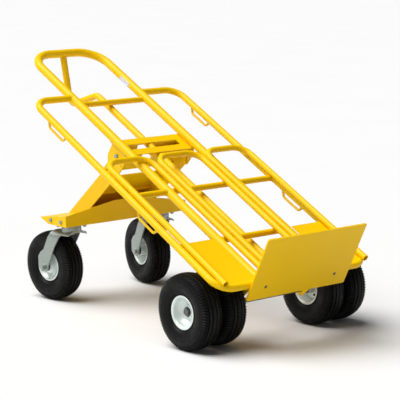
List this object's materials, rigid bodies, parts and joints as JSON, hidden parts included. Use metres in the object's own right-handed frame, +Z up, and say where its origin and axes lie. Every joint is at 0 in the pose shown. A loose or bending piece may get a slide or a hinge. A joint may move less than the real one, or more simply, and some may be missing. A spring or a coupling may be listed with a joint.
{
  "type": "convertible hand truck",
  "caption": "Tubular steel hand truck with a toe plate, dual front wheels and a swing-out frame with swivel casters, set as an inclined cart.",
  "frame": {"origin": "centre of the bounding box on the floor, under the truck standing on all its wheels", "axes": "+Z up, -Y towards the toe plate, +Y towards the handle, +X across the truck"},
  "size_m": [0.75, 1.4472, 0.9154],
  "materials": {
    "yellow_paint": "gloss powder coat",
    "zinc": "zinc plated",
    "bare_steel": "satin",
    "bearing_steel": "ground",
    "rim_paint": "silver paint",
    "tyre": "matt"
  },
  "bodies": {
    "frame": {"main_leg_left": "yellow_paint", "main_leg_right": "yellow_paint", "handle_bow": "yellow_paint", "grip_loop": "yellow_paint", "centre_spine": "yellow_paint", "crossbar_upper": "yellow_paint", "crossbar_middle": "yellow_paint", "crossbar_lower": "yellow_paint", "side_rail_left": "yellow_paint", "side_rail_right": "yellow_paint", "load_loop_left": "yellow_paint", "load_loop_centre": "yellow_paint", "load_loop_right": "yellow_paint", "tie_rings": "yellow_paint", "toe_plate": "yellow_paint", "toe_bolts": "zinc", "leg_plugs": "bare_steel", "fenders": "yellow_paint", "cross_plate": "yellow_paint", "pivot_brackets": "yellow_paint", "pivot_bolts": "zinc", "lock_barrel": "yellow_paint", "axle_brackets": "yellow_paint", "front_axle": "zinc", "axle_nuts": "zinc", "axle_spacers": "zinc"},
    "wheel_inner_left": {"wheel_inner_left_tyre": "tyre", "wheel_inner_left_rim": "rim_paint", "wheel_inner_left_bearings": "bearing_steel"},
    "wheel_outer_left": {"wheel_outer_left_tyre": "tyre", "wheel_outer_left_rim": "rim_paint", "wheel_outer_left_bearings": "bearing_steel"},
    "wheel_inner_right": {"wheel_inner_right_tyre": "tyre", "wheel_inner_right_rim": "rim_paint", "wheel_inner_right_bearings": "bearing_steel"},
    "wheel_outer_right": {"wheel_outer_right_tyre": "tyre", "wheel_outer_right_rim": "rim_paint", "wheel_outer_right_bearings": "bearing_steel"},
    "caster_frame": {"arm_left": "yellow_paint", "arm_right": "yellow_paint", "pivot_channel": "yellow_paint", "arm_web": "yellow_paint", "caster_channel": "yellow_paint", "end_plates": "yellow_paint", "end_bolts": "zinc", "caster_plate_left": "zinc", "caster_plate_right": "zinc", "caster_bolts": "zinc"},
    "lock_pin": {"lock_pin": "zinc"},
    "caster_swivel_left": {"caster_fork_left": "zinc", "caster_axle_left": "zinc"},
    "caster_wheel_left": {"caster_wheel_left_tyre": "tyre", "caster_wheel_left_rim": "rim_paint", "caster_wheel_left_bearings": "bearing_steel"},
    "caster_swivel_right": {"caster_fork_right": "zinc", "caster_axle_right": "zinc"},
    "caster_wheel_right": {"caster_wheel_right_tyre": "tyre", "caster_wheel_right_rim": "rim_paint", "caster_wheel_right_bearings": "bearing_steel"}
  },
  "joints": [
    {"name": "wheel_inner_left_spin", "type": "hinge", "parent": "frame", "child": "wheel_inner_left", "pos_m": [-0.225, -0.4546, 0.13], "axis": [1, 0, 0], "continuous": true},
    {"name": "wheel_outer_left_spin", "type": "hinge", "parent": "frame", "child": "wheel_outer_left", "pos_m": [-0.3315, -0.4546, 0.13], "axis": [1, 0, 0], "continuous": true},
    {"name": "wheel_inner_right_spin", "type": "hinge", "parent": "frame", "child": "wheel_inner_right", "pos_m": [0.225, -0.4546, 0.13], "axis": [1, 0, 0], "continuous": true},
    {"name": "wheel_outer_right_spin", "type": "hinge", "parent": "frame", "child": "wheel_outer_right", "pos_m": [0.3315, -0.4546, 0.13], "axis": [1, 0, 0], "continuous": true},
    {"name": "caster_frame_fold", "type": "hinge", "parent": "frame", "child": "caster_frame", "pos_m": [0, 0.15969, 0.56758], "axis": [1, 0, 0], "range_deg": [-60, 0]},
    {"name": "lock_pin_slide", "type": "slide", "parent": "frame", "child": "lock_pin", "axis": [-1, 0, 0], "range_m": [0, 0.01]},
    {"name": "caster_swivel_left", "type": "hinge", "parent": "caster_frame", "child": "caster_swivel_left", "pos_m": [-0.2085, 0.38085, 0.29], "axis": [0, 0, 1], "continuous": true},
    {"name": "caster_wheel_left_spin", "type": "hinge", "parent": "caster_swivel_left", "child": "caster_wheel_left", "pos_m": [-0.21722, 0.48047, 0.13], "axis": [0.9962, 0.0872, 0], "continuous": true},
    {"name": "caster_swivel_right", "type": "hinge", "parent": "caster_frame", "child": "caster_swivel_right", "pos_m": [0.2085, 0.38085, 0.29], "axis": [0, 0, 1], "continuous": true},
    {"name": "caster_wheel_right_spin", "type": "hinge", "parent": "caster_swivel_right", "child": "caster_wheel_right", "pos_m": [0.22414, 0.47962, 0.13], "axis": [0.9877, -0.1564, 0], "continuous": true}
  ]
}
